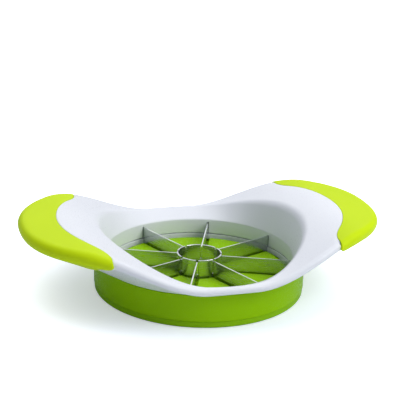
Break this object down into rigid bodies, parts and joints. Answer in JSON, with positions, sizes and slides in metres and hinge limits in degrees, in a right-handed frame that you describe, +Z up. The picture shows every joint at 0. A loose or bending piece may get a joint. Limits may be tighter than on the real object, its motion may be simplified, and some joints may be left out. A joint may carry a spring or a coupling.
{
  "type": "apple slicer",
  "caption": "Apple slicer and corer: a saddle-shaped frame with soft-grip wings and radial blades, pressed down over an apple onto a round slotted base.",
  "frame": {"origin": "under the middle of the base, on the surface it stands on", "axes": "+X along the two handles, +Y across them, +Z up, the way the frame lifts off"},
  "size_m": [0.1846, 0.1184, 0.04],
  "materials": {
    "white_plastic": "satin-gloss moulded ABS",
    "lime_grip": "satin soft-touch elastomer",
    "green_plastic": "satin-gloss moulded plastic",
    "green_foot": "matt elastomer",
    "blade_steel": "bright-rolled stainless strip",
    "screw_steel": "zinc plated"
  },
  "bodies": {
    "base": {"base_cup": "green_plastic", "foot_ring": "green_foot"},
    "frame": {"top_shell": "white_plastic", "bottom_shell": "white_plastic", "left_grip": "lime_grip", "right_grip": "lime_grip", "blade_retainer": "white_plastic", "corer_ring": "blade_steel", "blade_1": "blade_steel", "blade_2": "blade_steel", "blade_3": "blade_steel", "blade_4": "blade_steel", "blade_5": "blade_steel", "blade_6": "blade_steel", "blade_7": "blade_steel", "blade_8": "blade_steel", "screw_1": "screw_steel", "screw_2": "screw_steel", "screw_3": "screw_steel", "screw_4": "screw_steel", "screw_5": "screw_steel", "screw_6": "screw_steel"}
  },
  "joints": [
    {"name": "frame_lift", "type": "slide", "parent": "base", "child": "frame", "axis": [0, 0, 1], "range_m": [0, 0.06]}
  ]
}
